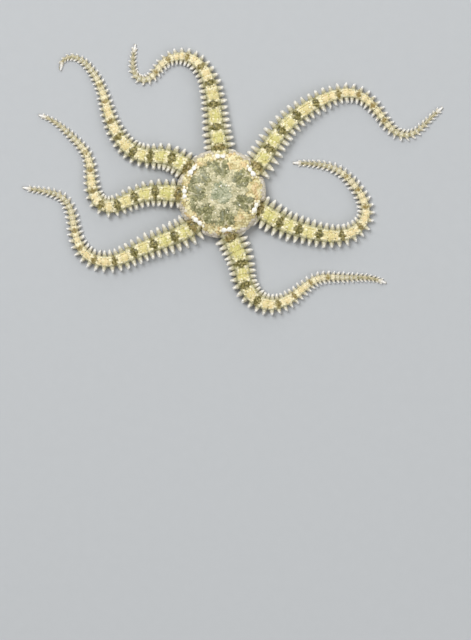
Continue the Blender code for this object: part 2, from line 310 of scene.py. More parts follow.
def applyModifier(obj, kind, **settings):
    selectOnly(obj)
    modifier = obj.modifiers.new(kind.lower(), kind)
    for title, value in settings.items():
        setattr(modifier, title, value)
    bpy.ops.object.modifier_apply(modifier=modifier.name)


def markVertices(mesh, title, values):
    layer = mesh.attributes.get(title) or mesh.attributes.new(title, "FLOAT", "POINT")
    layer.data.foreach_set("value", np.asarray(values, np.float32))


templates = []


def template(obj):  # a model that is copied and then removed
    close(obj)
    openAll()
    bpy.ops.uv.smart_project(angle_limit=radians(66), island_margin=0.02, scale_to_bounds=True)
    bpy.ops.object.mode_set(mode="OBJECT")
    obj.data.uv_layers.active.name = "OFBake"
    templates.append(obj)
    return obj


class Copies:
    def __init__(self, name, model):
        self.name, self.model, self.places = name, model, []
        self.local = np.array([vertex.co for vertex in model.data.vertices], np.float32)

    def add(self, matrix, **marks):  # a mark is a number, or a function of the model's points
        self.places.append((matrix, marks))

    def joined(self, look, slot):
        cells = ceil(sqrt(len(self.places)))
        made = []
        for number, (matrix, marks) in enumerate(self.places):
            mesh = self.model.data.copy()
            for title, value in marks.items():
                found = value(self.local) if callable(value) else np.full(len(self.local), value)
                markVertices(mesh, title, found)
            mesh.transform(matrix)
            if matrix.determinant() < 0:
                mesh.flip_normals()
            ownCell(mesh, number, cells)
            copy = bpy.data.objects.new(self.name, mesh)
            bpy.context.scene.collection.objects.link(copy)
            made.append(copy)
        deselectAll()
        for copy in made:
            copy.select_set(True)
        bpy.context.view_layer.objects.active = made[0]
        bpy.ops.object.join()
        made[0].name = made[0].data.name = self.name
        finishPiece(made[0], look)


def ownCell(mesh, number, cells, margin=0.05):  # the copy's own square of the bake map
    layer = mesh.uv_layers["OFBake"].uv
    flat = np.empty(len(layer) * 2, np.float32)
    layer.foreach_get("vector", flat)
    corner = np.array([number % cells, number // cells], np.float32)
    inside = corner + margin + (1 - 2 * margin) * flat.reshape(-1, 2)
    layer.foreach_set("vector", (inside / cells).ravel())


def finishPiece(obj, look):
    obj.data.materials.clear()
    obj.data.materials.append(looks[look])
    for face in obj.data.polygons:
        face.material_index = 0
    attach(obj, "root")


def axesMatrix(place, x, y, z):
    matrix = Matrix((x, y, z)).transposed().to_4x4()
    matrix.translation = place
    return matrix


# Shader tools: a wire is one socket, and arithmetic on wires adds the Math nodes.


class Wire:
    def __init__(self, tree, socket=None):
        self.tree, self.socket = tree, socket

    def node(self, kind, settings=None, values=None, output=0):
        made = self.tree.nodes.new(kind)
        for title, value in (settings or {}).items():
            setattr(made, title, value)
        for title, value in (values or {}).items():
            socket = made.inputs[title]
            if isinstance(value, Wire):
                self.tree.links.new(value.socket, socket)
            elif socket.type == "RGBA":
                socket.default_value = (*value, 1.0)
            else:
                socket.default_value = value
        return Wire(self.tree, made.outputs[output])

    def maths(self, operation, *values):
        return self.node("ShaderNodeMath", {"operation": operation}, dict(enumerate(values)))

    def __add__(self, other):
        return self.maths("ADD", self, other)

    __radd__ = __add__

    def __sub__(self, other):
        return self.maths("SUBTRACT", self, other)

    def __rsub__(self, other):
        return self.maths("SUBTRACT", other, self)

    def __mul__(self, other):
        return self.maths("MULTIPLY", self, other)

    __rmul__ = __mul__

    def uneven(self, noise, amount):
        return self + (noise - 0.5) * amount

    def ramp(self, low, high):  # smoothly from 0 at low to 1 at high
        settings = {"interpolation_type": "SMOOTHSTEP"}
        values = {"Value": self, "From Min": low, "From Max": high, "To Min": 0.0, "To Max": 1.0}
        return self.node("ShaderNodeMapRange", settings, values)

    def mix(self, first, second):  # this wire is the factor between two colours
        return self.node("ShaderNodeMix", {"data_type": "RGBA"}, {0: self, 6: first, 7: second}, 2)

    def mark(self, title):  # a number that the mesh carries
        return self.node("ShaderNodeAttribute", {"attribute_name": title}, output="Fac")

    def marks(self, *titles):
        return [self.mark(title) for title in titles]

    def placeInMm(self):
        place = self.node("ShaderNodeTexCoord", output="Object")
        return self.node("ShaderNodeVectorMath", {"operation": "SCALE"}, {0: place, "Scale": 1 / mm})

    def noise(self, place, scale, detail=3.0):
        values = {"Vector": place, "Scale": scale, "Detail": detail, "Roughness": 0.55}
        return self.node("ShaderNodeTexNoise", None, values)

    def cells(self, place, scale):
        return self.node("ShaderNodeTexVoronoi", None, {"Vector": place, "Scale": scale})

    def bump(self, height, depthMm, strength):
        values = {"Height": height, "Distance": depthMm * mm, "Strength": strength}
        return self.node("ShaderNodeBump", None, values)


def newMaterial(name, build, **constants):
    material = bpy.data.materials.new(name)
    material.use_nodes = True
    tree = material.node_tree
    surface = tree.nodes["Principled BSDF"]
    for title, value in constants.items():
        surface.inputs[title.replace("_", " ")].default_value = value
    for title, wire in build(Wire(tree)).items():
        tree.links.new(wire.socket, surface.inputs[title])
    return material


# Colours and finishes.

armColours = {
    "pale": (0.69, 0.63, 0.26),
    "green": (0.60, 0.57, 0.18),
    "paleOuter": (0.80, 0.66, 0.36),
    "paleTip": (0.66, 0.63, 0.51),
    # light: the cream of the lumps, and also the painted highlight on the pale stretches
    "light": (0.98, 0.90, 0.62),
    "dark": (0.10, 0.09, 0.015),
    "darkSpeck": (0.42, 0.36, 0.14),
    "darkOuter": (0.30, 0.21, 0.065),
    "rust": (0.28, 0.20, 0.07),
    "flank": (0.31, 0.29, 0.12),
    "flankOuter": (0.54, 0.47, 0.29),
    "glassy": (0.56, 0.54, 0.36),
}

# The arm's pattern: toSpot is the distance to the nearest dark spot in mm, aside is the
# distance from the arm's middle line in half widths.


def darkSpot(toSpot, aside, far, wobble):
    along = toSpot * (1.0 / 0.62) * (1.0 + far.ramp(0.3, 0.7) * 0.5)
    across = aside * (1.0 / 0.74)
    return (1.15 - along - across * across * across + wobble).ramp(-0.15, 0.5)


def paleIsland(toSpot, aside, far, wobble, fine):  # the pale stretch between two dark spots
    end = (toSpot + aside * 0.4 + wobble * 0.45).uneven(fine, 0.4) + far.ramp(0.2, 0.6) * 0.2
    return end.ramp(0.44, 0.74) * (aside + wobble * 0.45).uneven(fine, 0.7).ramp(0.8, 0.54)


def armPlateLook(start):
    place, colours = start.placeInMm(), armColours
    far, tone, toSpot, aside = start.marks("share", "tone", "toSpot", "aside")
    root, ridge = start.marks("root", "ridge")
    lump, fine, grain = start.noise(place, 2.6, 1.0), start.noise(place, 5.0, 2.0), start.cells(place, 3.4)
    wobble = (lump - 0.5) * 1.6
    flank = far.ramp(0.15, 0.7).mix(colours["flank"], colours["flankOuter"])
    clear = fine * 0.8 + lump * 0.5 + tone * 0.1 + ridge * 0.2
    flank = clear.ramp(0.55, 0.95).mix(flank, colours["glassy"])
    rusty = root * (lump * 0.6 + fine * 0.4).ramp(0.38, 0.55)
    dark = rusty.mix(colours["dark"], colours["rust"])
    dark = far.ramp(0.3, 0.6).mix(dark, colours["darkOuter"])
    dark = (fine * 1.4 + lump * 0.4).ramp(0.78, 1.15).mix(dark, colours["darkSpeck"])
    colour = ((0.3 - toSpot + wobble * 0.3).ramp(0.0, 0.25) * 0.6).mix(flank, dark)
    colour = darkSpot(toSpot, aside, far, wobble).mix(colour, dark)
    green = (lump * 0.8 + fine * 0.6 - aside * 0.5).ramp(0.3, 0.9)
    pale = green.mix(colours["pale"], colours["green"])
    pale = far.ramp(0.1, 0.45).mix(pale, colours["paleOuter"])
    pale = far.ramp(0.55, 0.85).mix(pale, colours["paleTip"])
    # Paler cream, partly the lumps' own colour and partly a painted highlight on the raised middles of the
    # cells and at the pale stretches' corners and sides
    pale = (grain.uneven(fine, 0.5).ramp(0.4, 0.1) * 0.5).mix(pale, colours["light"])
    corner = (1.0 - toSpot) * 0.35 + aside * 0.4 + lump * 0.7 + fine * 0.3 + ridge * 0.1
    pale = corner.ramp(0.62, 1.02).mix(pale, colours["light"])
    return {
        "Base Color": paleIsland(toSpot, aside, far, wobble, fine).mix(colour, pale),
        "Roughness": 0.3 + lump * 0.25,
        "Normal": start.bump(lump + fine * 0.4 - grain * 0.8, 0.08, 0.8),
    }


def bumpLook(start):
    far, toSpot, aside = start.marks("share", "toSpot", "aside")
    speck = start.noise(start.placeInMm(), 3.5, 2.0)
    light = far.ramp(0.3, 0.9).mix(armColours["light"], (0.86, 0.76, 0.55))
    light = toSpot.uneven(speck, 0.8).ramp(0.7, 1.3).mix(light, armColours["pale"])
    onPale = (toSpot + aside * 0.4).ramp(0.3, 0.5) * aside.ramp(0.84, 0.66)
    return {
        "Base Color": onPale.mix(armColours["glassy"], light),
        "Normal": start.bump(speck, 0.03, 0.5),
    }


def spineLook(start):
    place = start.placeInMm()
    tip, far, tone, low = start.marks("tip", "share", "tone", "low")
    speck, ridges = start.noise(place, 6.0, 2.0), start.noise(place, 14.0, 1.0)
    root = far.ramp(0.2, 0.8).mix((0.42, 0.40, 0.21), (0.56, 0.49, 0.32))
    root = low.mix(root, (0.72, 0.63, 0.43))
    body = far.ramp(0.2, 0.9).mix((0.58, 0.54, 0.39), (0.69, 0.64, 0.52))
    body = low.mix(body, (0.78, 0.74, 0.62))
    colour = (tip + tone * 0.2).uneven(speck, 0.5).ramp(0.15, 0.55).mix(root, body)
    white = far.ramp(0.3, 0.7).mix((0.86, 0.83, 0.75), (0.90, 0.88, 0.86))
    return {
        "Base Color": tip.uneven(speck, 0.6).ramp(0.5, 0.9).mix(colour, white),
        "Normal": start.bump(speck + ridges * 0.5, 0.03, 0.6),
    }


def bellyLook(start):
    tone, far, mouth = start.marks("tone", "share", "mouth")
    speck = start.noise(start.placeInMm(), 2.4, 4.0)
    cream = (speck + tone * 0.4).ramp(0.4, 0.9).mix((0.80, 0.60, 0.32), (0.94, 0.80, 0.56))
    cream = far.ramp(0.5, 1.0).mix(cream, (0.76, 0.68, 0.54))
    return {
        "Base Color": mouth.uneven(speck, 0.5).ramp(0.3, 0.8).mix(cream, (0.52, 0.20, 0.03)),
        "Roughness": 0.35 + speck * 0.2,
        "Normal": start.bump(speck, 0.05, 0.7),
    }


def discColour(start, place, tone):  # by the zones that the scales and the skin carry
    star, warm, clear, core = start.marks("star", "warm", "clear", "core")
    patch, speck, fine = start.noise(place, 0.7, 2.0), start.noise(place, 1.7), start.noise(place, 4.5)
    grains = speck * 0.6 + fine * 0.3 + tone * 0.12
    colour = grains.ramp(0.42, 0.68).mix((0.17, 0.17, 0.07), (0.47, 0.46, 0.25))
    centre = grains.uneven(patch, 0.3).ramp(0.43, 0.68).mix((0.24, 0.27, 0.15), (0.66, 0.65, 0.45))
    colour = core.uneven(speck, 0.5).ramp(0.3, 0.7).mix(colour, centre)
    cream = grains.ramp(0.42, 0.66).mix((0.47, 0.44, 0.25), (0.82, 0.75, 0.50))
    colour = star.uneven(fine, 0.8).ramp(0.28, 0.6).mix(colour, cream)
    orange = fine.ramp(0.4, 0.6).mix((0.66, 0.45, 0.20), (0.90, 0.70, 0.38))
    gold = grains.ramp(0.42, 0.62).mix((0.54, 0.44, 0.19), (0.97, 0.88, 0.52))
    gold = patch.uneven(fine, 0.3).ramp(0.5, 0.64).mix(gold, orange)
    colour = warm.uneven(speck, 0.7).ramp(0.3, 0.7).mix(colour, gold)
    rim = grains.ramp(0.4, 0.65).mix((0.55, 0.49, 0.38), (0.86, 0.79, 0.68))
    return clear.uneven(speck, 0.4).ramp(0.3, 0.7).mix(colour, rim)


def skinLook(start):
    place = start.placeInMm()
    far, onDisc, belly, mouth = start.marks("share", "onDisc", "belly", "mouth")
    speck = start.noise(place, 2.4, 4.0)
    flank = far.ramp(0.2, 0.7).mix(armColours["flank"], armColours["flankOuter"])
    flank = speck.ramp(0.35, 0.7).mix(flank, (0.22, 0.20, 0.09))
    colour = onDisc.mix(flank, discColour(start, place, 0.2))
    colour = belly.ramp(0.55, 0.85).mix(colour, (0.80, 0.64, 0.39))
    colour = mouth.uneven(speck, 0.3).ramp(0.1, 0.5).mix(colour, (0.66, 0.32, 0.07))
    return {
        "Base Color": mouth.ramp(0.5, 1.0).mix(colour, (0.22, 0.07, 0.01)),
        "Roughness": 0.35 + speck * 0.2,
        "Normal": start.bump(speck, 0.06, 0.7),
    }


def discScaleLook(start):
    place = start.placeInMm()
    tone, raised = start.marks("tone", "raised")
    fine = start.noise(place, 5.0)
    colour = discColour(start, place, tone)
    return {
        # Paler in random flecks, and towards each scale's raised far edge as a painted highlight
        "Base Color": (raised * 0.5 + fine * 0.6).ramp(0.72, 1.2).mix(colour, (0.86, 0.80, 0.58)),
        "Roughness": 0.3 + fine * 0.3,
        "Normal": start.bump(fine, 0.04, 0.7),
    }


def shieldLook(start):
    place = start.placeInMm()
    seam, edge = start.marks("seam", "edge")
    patch, speck, fine = start.noise(place, 1.1, 1.0), start.noise(place, 2.2), start.noise(place, 5.0)
    green = (speck * 0.6 + fine * 0.5).ramp(0.44, 0.7).mix((0.14, 0.14, 0.055), (0.43, 0.41, 0.20))
    green = patch.uneven(fine, 0.3).ramp(0.53, 0.7).mix(green, (0.26, 0.27, 0.18))
    green = seam.uneven(speck, 1.4).ramp(0.3, 0.85).mix(green, (0.095, 0.095, 0.05))
    green = edge.uneven(speck, 1.5).ramp(0.2, 0.9).mix(green, (0.42, 0.39, 0.18))
    green = edge.uneven(fine, 1.5).ramp(0.55, 1.0).mix(green, (0.64, 0.58, 0.38))
    # Painted highlights, strewn by noise and a little more towards the shield's edge
    paintedHighlights = (fine * 0.7 + speck * 0.5 + edge * 0.12).ramp(0.7, 0.84)
    return {
        "Base Color": paintedHighlights.mix(green, (0.80, 0.75, 0.52)),
        "Roughness": 0.3 + speck * 0.2,
        "Normal": start.bump(speck + fine, 0.05, 0.8),
    }


def knobLook(start):
    speck, tone = start.noise(start.placeInMm(), 4.0, 2.0), start.mark("tone")
    cream = speck.ramp(0.3, 0.6).mix((0.72, 0.61, 0.30), (0.90, 0.82, 0.56))
    return {
        "Base Color": (speck * 2.0 + tone).ramp(1.35, 1.95).mix(cream, (0.97, 0.95, 0.88)),
        "Normal": start.bump(speck, 0.05, 0.7),
    }


wet = {"Coat_Weight": 0.2, "Coat_Roughness": 0.2, "IOR": 1.4}
flesh = {"Subsurface_Weight": 0.2, "Subsurface_Scale": 0.2 * mm, "Subsurface_Radius": (1.0, 0.9, 0.7)}
glass = {
    "Subsurface_Weight": 0.35,
    "Subsurface_Scale": 0.25 * mm,
    "Subsurface_Radius": (1.0, 1.0, 1.0),
    "Sheen_Weight": 0.22,  # the pale outline of something clear
    "Sheen_Roughness": 0.3,
}
looks = {
    "plates": newMaterial("armPlates", armPlateLook, **wet, **flesh),
    "bumps": newMaterial("creamBumps", bumpLook, Roughness=0.35, **wet, **flesh),
    "spines": newMaterial("glassySpines", spineLook, Roughness=0.3, **wet, **glass),
    "belly": newMaterial("creamBelly", bellyLook, **wet, **flesh),
    "skin": newMaterial("armAndDiscSkin", skinLook, **wet, **flesh),
    "scales": newMaterial("discScales", discScaleLook, **wet, **flesh),
    "shields": newMaterial("radialShields", shieldLook, **wet, **flesh),
    "knobs": newMaterial("whiteKnobs", knobLook, Roughness=0.3, **flesh),
}
print("stage: materials made")

# The skin: one closed surface for the disc, the arms and the mouth.

discFacts = {
    "segments": 84,
    "rings": (  # height and radius in mm, from the belly over the rim to the middle of the back
        (0.4, 4.4),
        (0.55, 4.9),
        (1.0, 5.17),
        (1.5, 5.2),
        (2.0, 4.95),
        (2.45, 4.35),
        (2.78, 3.4),
        (2.96, 2.3),
        (3.04, 1.2),
        (3.05, 0.4),
    ),
    "notch": 0.55 * mm,  # how far the rim is pushed in over an arm
    "notchFrom": 4.3 * mm,
    "notchSpread": radians(11),  # to each side of the arm
}


def makeDiscBody():
    facts = discFacts
    rings = [(height * mm, radius * mm) for height, radius in facts["rings"]]
    bottom, radius = rings[0]
    place = middle + up * bottom
    sides = facts["segments"]
    deselectAll()
    bpy.ops.mesh.primitive_circle_add(vertices=sides, radius=radius, fill_type="NGON", location=place)
    bpy.ops.object.transform_apply(location=True)
    disc = begin("discBody")
    drawUp(rings)
    for arm in arms:

        def overArm(co):
            flat = co - middle
            near = abs(turned(atan2(flat.y, flat.x) - arm.azimuth)) < facts["notchSpread"]
            return near and hypot(flat.x, flat.y) > facts["notchFrom"]

        pick(disc, overArm)
        shift(-cos(arm.azimuth) * facts["notch"], -sin(arm.azimuth) * facts["notch"], 0)
    bpy.ops.object.mode_set(mode="OBJECT")
    applyModifier(disc, "SUBSURF", levels=1, render_levels=1)
    return disc


tubeFacts = {
    "start": 1.0 * mm,
    "ring": 0.2 * mm,
    "tight": 0.93,  # of the solids' width
    "waist": 0.07,  # how much narrower it is between two joints
    "sides": 18,
    "lift": 0.05 * mm,
    "powers": (0.72, 0.8, 0.9),  # how square the belly, the sides and the back are: 1 is round
}


def signedPower(value, power):
    return abs(value) ** power * (1 if value >= 0 else -1)


def sectionPoint(turn):  # across and up, in half widths, from 0 at the belly to pi at the back
    belly, side, back = tubeFacts["powers"]
    rise = signedPower(cos(turn), belly if cos(turn) > 0 else back)
    return signedPower(sin(turn), side), (1.0 - rise) / 2 * armSizes["height"]


def drawCurve(name, points, closed=False):  # points of (place, radius)
    curve = bpy.data.curves.new(name, "CURVE")
    curve.dimensions = "3D"
    line = curve.splines.new("POLY")
    line.points.add(len(points) - 1)
    for spot, (place, radius) in zip(line.points, points):
        spot.co = (*place, 1.0)
        spot.radius = radius
    line.use_cyclic_u = closed
    obj = bpy.data.objects.new(name, curve)
    bpy.context.scene.collection.objects.link(obj)
    return obj


def makeArmTube(arm):
    facts = tubeFacts
    outline = [sectionPoint(index / facts["sides"] * tau) for index in range(facts["sides"])]
    section = drawCurve("armSection", [((across, height, 0.0), 1.0) for across, height in outline], True)
    count = round((arm.length - facts["start"]) / facts["ring"])
    joints = arm.joints(facts["start"])
    route = []
    for index in range(count + 1):
        distance = facts["start"] + (arm.length - facts["start"]) * index / count
        joint = min(joints, key=lambda found: abs(found[0] - distance))
        waist = 1.0 - facts["waist"] * (1.0 - cos((distance - joint[0]) / joint[1] * tau)) / 2
        place = arm.point(distance) + up * facts["lift"]
        route.append((place, arm.halfWidth(distance) * facts["tight"] * waist))
    tube = drawCurve("armTube", route)
    tube.data.twist_mode = "Z_UP"
    tube.data.bevel_mode = "OBJECT"
    tube.data.bevel_object = section
    tube.data.use_fill_caps = True
    selectOnly(tube)
    bpy.ops.object.convert(target="MESH")
    bpy.data.objects.remove(section)
    selectOnly(tube)
    openAll()
    bpy.ops.mesh.remove_doubles(threshold=0.001 * mm)
    bpy.ops.mesh.normals_make_consistent(inside=False)
    bpy.ops.object.mode_set(mode="OBJECT")
    return tube


def combine(body, others, operation):
    group = bpy.data.collections.new("others")
    bpy.context.scene.collection.children.link(group)
    for other in others:
        group.objects.link(other)
    settings = {"operation": operation, "operand_type": "COLLECTION", "collection": group, "solver": "EXACT"}
    applyModifier(body, "BOOLEAN", **settings)
    for other in others:
        bpy.data.objects.remove(other)
    bpy.data.collections.remove(group)


mouthFacts = {
    "ringSides": 56,
    "ringRadius": 1.95 * mm,
    "ringBottom": 0.2 * mm,
    "ringTop": 1.5 * mm,
    "pitSides": 42,
    "pitRadius": 0.75 * mm,
    "pitTaper": 0.5,
    "pitTop": 1.1 * mm,  # it starts half as far below the floor, so that it cuts right in
}


def makeSkin():
    facts = mouthFacts
    skin = makeDiscBody()
    low, high = facts["ringBottom"], facts["ringTop"]
    deselectAll()
    bpy.ops.mesh.primitive_cylinder_add(
        vertices=facts["ringSides"],
        radius=facts["ringRadius"],
        depth=high - low,
        location=middle + up * (low + high) / 2,
    )
    drum = bpy.context.active_object
    combine(skin, [drum] + [makeArmTube(arm) for arm in arms], "UNION")
    deselectAll()
    bpy.ops.mesh.primitive_cone_add(
        vertices=facts["pitSides"],
        radius1=facts["pitRadius"],
        radius2=facts["pitRadius"] * facts["pitTaper"],
        depth=facts["pitTop"] * 1.5,
        location=middle + up * facts["pitTop"] * 0.25,
    )
    combine(skin, [bpy.context.active_object], "DIFFERENCE")
    skin.name = skin.data.name = "starSkin"
    markSkin(skin.data)
    close(skin)
    finishPiece(skin, "skin")
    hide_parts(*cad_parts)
    return skin


# The disc's colours lie in zones: a core, a ring round it with a ray to each gap between arms,
# a warm border, which comes further in at a wide gap, and a clear rim. Lengths are in mm from
# the disc's middle, and a pair says where a zone starts and where it is full, or the reverse.
zoneFacts = {
    "core": (1.1, 1.5),
    "starFrom": (1.0, 1.3),
    "ring": 1.6,
    "ringFade": (0.2, 0.5),
    "ringShare": 0.7,
    "rayWidth": (0.5, 1.4, 0.12),  # half of it, where, and how much less a mm further out
    "rayEdge": (0.6, 1.3),  # over that
    "rayEnd": (3.0, 3.5),
    "border": 3.85,
    "borderFade": 0.25,
    "wideGap": radians(55),
    "inlet": 0.9,
    "inletFade": (0.5, 1.1),
    "rim": (4.6, 4.9),
}


def zonesAt(point, shake=0.0):
    facts = zoneFacts
    radius = hypot(point.x - middle.x, point.y - middle.y) / mm + chance.uniform(-1, 1) * shake
    gap, aside = gapPlace(point)
    aside /= mm
    width, where, taper = facts["rayWidth"]
    ray = width - taper * (radius - where)
    onRay = 1.0 - smooth(aside, *(edge * ray for edge in facts["rayEdge"]))
    onRay *= 1.0 - smooth(radius, *facts["rayEnd"])
    ring = 1.0 - smooth(abs(radius - facts["ring"]), *facts["ringFade"])
    inlet = facts["inlet"] * (1.0 - smooth(aside, *facts["inletFade"])) if gap > facts["wideGap"] else 0.0
    border, fade = facts["border"] - inlet, facts["borderFade"]
    return {
        "core": 1.0 - smooth(radius, *facts["core"]),
        "star": max(onRay, facts["ringShare"] * ring) * smooth(radius, *facts["starFrom"]),
        "warm": smooth(radius, border - fade, border + fade),
        "clear": smooth(radius, *facts["rim"]),
    }


skinFacts = {  # lengths in mm
    "discEdge": (5.5, 0.3),  # where the arm's colours are full, and how wide the change is
    "discHeight": 3.0,
    "pit": (1.5, 1.6),  # how far its colour reaches, and how strong it is
    "slit": 0.55,  # how strong the colour is along an arm's middle line
    "slitFade": (0.1, 0.3),  # aside from that line
    "slitEnd": (1.3, 2.0),  # outwards
    "mouthTop": 1.3,
}


def mouthMark(radius, apart):
    reach, strength = skinFacts["pit"]
    pit = max(0.0, 1.0 - radius / (reach * mm)) * strength
    slit = skinFacts["slit"] * (1.0 - smooth(apart / mm, *skinFacts["slitFade"]))
    return max(pit, slit * (1.0 - smooth(radius / mm, *skinFacts["slitEnd"])))


def markSkin(mesh):
    marks = {title: [] for title in ("share", "belly", "onDisc", "mouth", "core", "star", "warm", "clear")}
    edge, change = skinFacts["discEdge"]
    for vertex in mesh.vertices:
        radius = hypot(vertex.co.x - middle.x, vertex.co.y - middle.y)
        arm, (distance, apart) = nearestArm(vertex.co)
        within = min(1.0, max(0.0, (edge * mm - radius) / (change * mm)))
        armHeight = arm.halfWidth(distance) * armSizes["height"]
        tall = skinFacts["discHeight"] * mm if within > 0.5 else armHeight
        inMouth = vertex.co.z < skinFacts["mouthTop"] * mm
        marks["share"].append(arm.share(distance))
        marks["belly"].append(1.0 - vertex.co.z / tall)
        marks["onDisc"].append(within)
        marks["mouth"].append(mouthMark(radius, apart) if inMouth else 0.0)
        for title, value in zonesAt(vertex.co).items():
            marks[title].append(value)
    for title, values in marks.items():
        markVertices(mesh, title, values)


skin = makeSkin()
print("stage: skin made,", len(skin.data.polygons), "faces")

# The arm's pieces. Their models are in joint lengths along and half widths across and up.


def modelDorsalPlate():
    facts = {
        "corners": 16,
        "size": (0.6, 0.76),
        "fan": 1.08,  # wider at the far edge
        "narrow": 0.86,
        "lobes": 1.1,
        "rings": ((0, 1), (0.12, 1.0), (0.19, 0.92), (0.23, 0.7), (0.245, 0.35)),
        "height": 1.28,
        "droop": ((0.25, 0.05), (0.45, 0.08), (0.6, 0.1)),  # beyond this far across, this much lower
    }
    long, wide = facts["size"]
    step = tau / facts["corners"]
    deselectAll()
    bpy.ops.mesh.primitive_circle_add(vertices=facts["corners"], radius=1, fill_type="NGON")
    plate = begin("dorsalPlate")
    resize(long, wide, 1)
    pick(plate, lambda co: co.x > 0.1)
    resize(1, facts["fan"], 1)
    pick(plate, lambda co: co.x < -0.2)
    resize(1, facts["narrow"], 1)
    pick(plate, lambda co: round(atan2(co.y / wide, co.x / long) / step) % 2)
    resize(facts["lobes"], facts["lobes"], 1)
    openAll()
    drawUp(facts["rings"])
    for far, drop in facts["droop"]:
        pick(plate, lambda co: abs(co.y) > far)
        shift(0, 0, -drop)
    openAll()
    shift(0, 0, facts["height"])
    return template(plate)


def modelLateralPlate():
    facts = {
        "sides": 22,
        "length": 1.06,
        "width": 0.97,
        "from": -0.72,  # in the section's half height, kept between these
        "to": 0.86,
        "cuts": (-0.28, 0.04, 0.34),
        "ridge": 1.12,  # how far the far half stands out
        "ends": 0.96,
        "shoulder": (0.07, 0.03),  # out and up: it carries the upper spines
        "lift": 0.02,
        "wall": 0.16,
    }
    half = armSizes["height"] / 2
    deselectAll()
    bpy.ops.mesh.primitive_cylinder_add(
        vertices=facts["sides"],
        radius=1,
        depth=facts["length"],
        end_fill_type="NOTHING",
        rotation=(0, pi / 2, 0),
    )
    bpy.ops.object.transform_apply(rotation=True)
    plate = begin("lateralPlate")
    pick(plate, lambda co: co.y < 0.2 or not facts["from"] < co.z < facts["to"], "FACE")
    bpy.ops.mesh.delete(type="FACE")
    openAll()
    resize(1, facts["width"], half)
    for cut in facts["cuts"]:
        openAll()
        bpy.ops.mesh.bisect(plane_co=(cut, 0, 0), plane_no=(1, 0, 0))
    pick(plate, lambda co: 0.0 < co.x < 0.4)
    resize(1, facts["ridge"], facts["ridge"])
    pick(plate, lambda co: co.x > 0.5 or co.x < -0.2)
    resize(1, facts["ends"], facts["ends"])
    pick(plate, lambda co: co.z > 0.25)
    shift(0, *facts["shoulder"])
    openAll()
    shift(0, 0, half + facts["lift"])
    close(plate)
    applyModifier(plate, "SOLIDIFY", thickness=facts["wall"], offset=-1.0)
    return template(plate)


def modelVentralPlate():
    facts = {"corners": 10, "size": (0.52, 0.46, 0.2), "edge": 0.16, "narrow": 0.75, "height": 0.14}
    deselectAll()
    bpy.ops.mesh.primitive_cylinder_add(vertices=facts["corners"], radius=1, depth=1)
    plate = begin("ventralPlate")
    bpy.ops.mesh.bevel(offset=facts["edge"], segments=1, affect="EDGES")
    pick(plate, lambda co: co.x < -0.5)
    resize(1, facts["narrow"], 1)
    openAll()
    resize(*facts["size"])
    shift(0, 0, facts["height"])
    return template(plate)


def modelSpine():
    rings = ((0.0, 1.0), (0.2, 1.0), (0.42, 0.86), (0.64, 0.66), (0.83, 0.48), (0.94, 0.33), (1.0, 0.14))
    return template(ringForm("armSpine", {"sides": 8, "rings": rings}))


def modelBump():  # a low round grain
    facts = {"sides": 7, "rings": ((0, 0.9), (0.4, 1.0), (0.9, 0.75), (1.2, 0.25))}
    return template(ringForm("bump", facts))


def modelKnob():  # a large smooth grain
    rings = ((0, 0.75), (0.4, 0.97), (0.75, 1.0), (1.05, 0.89), (1.3, 0.7), (1.47, 0.46), (1.56, 0.2))
    knob = ringForm("knob", {"sides": 14, "rings": rings})
    pick(knob, lambda co: co.x < -0.2)
    resize(1, 0.86, 0.9)
    return template(knob)


def modelScale():  # a scale that lies on the next one, thicker at its far edge
    scale = ringForm("scale", {"sides": 10, "rings": ((0, 0.8), (1.1, 1.0), (1.75, 0.84), (2.0, 0.45))})
    pick(scale, lambda co: co.x < -0.3)
    resize(1, 0.78, 0.6)
    return template(scale)


bump = modelBump()
knob = modelKnob()
scale = modelScale()

armPieces = {  # the model, the look and the slot
    "DorsalPlates": (modelDorsalPlate(), "plates", "base"),
    "LateralPlates": (modelLateralPlate(), "plates", "base"),
    "Bumps": (bump, "bumps", "base"),
    "VentralPlates": (modelVentralPlate(), "belly", "inner"),
    "TentacleScales": (scale, "belly", "inner"),
    "Spines": (modelSpine(), "spines", "tip"),
}
print("stage: models made,", [(obj.name, len(obj.data.polygons)) for obj in templates])

spineFacts = {
    # by the share of the free arm: how far past the arm's side in mm, and half the thickness in mm
    "reaches": ((0.0, 0.95), (0.3, 0.68), (0.6, 0.56), (0.85, 0.47), (1.0, 0.34)),
    "radii": ((0.0, 0.34), (0.3, 0.29), (0.6, 0.2), (1.0, 0.12)),
    # and in degrees: the lean towards the arm's tip, and how much a spine may be off it
    "lean": ((0.0, 0), (0.4, 3), (0.6, 14), (0.8, 28), (1.0, 60)),
    "uneven": ((0.0, 5), (0.5, 8), (1.0, 14)),
    # height over half a width, upward tilt in degrees, length, forward shift in joints, how pale
    "rows": (
        (1.04, 22, 0.92, 0.13, 0.0),
        (0.8, 8, 1.0, 0.16, 0.1),
        (0.56, -3, 1.0, 0.14, 0.5),
        (0.34, -6, 0.86, 0.1, 1.0),
    ),
    "tilt": 6,  # degrees up or down
    "long": (0.88, 1.08),  # how one spine's reach and thickness differ from the usual
    "thick": (0.92, 1.06),
    "stout": 0.42,  # the most that a radius may be of the length
    "flat": 0.7,
    "start": 0.84,  # of half the width
    "underDisc": 0.6,  # of the length
}

spineRoomFacts = {
    "shortest": 0.2 * mm,
    "floor": 0.02 * mm,
    "armsFrom": 4.5 * mm,  # along another arm, which is in the way from here on
    "clear": 0.12 * mm,
    "shorter": 0.9,
}


def touches(arm, tip):
    distance, apart = arm.nearest(tip)
    near = apart < arm.halfWidth(distance) + spineRoomFacts["clear"]
    return near and distance > spineRoomFacts["armsFrom"]


def crowded(arm, tip):
    others = [other for other in arms if other is not arm]
    return tip.z < spineRoomFacts["floor"] or any(touches(other, tip) for other in others)


def spineRoom(arm, foot, direction, whole):  # shortened to stay off the floor and the other arms
    while whole > spineRoomFacts["shortest"] and crowded(arm, foot + direction * whole):
        whole *= spineRoomFacts["shorter"]
    return whole


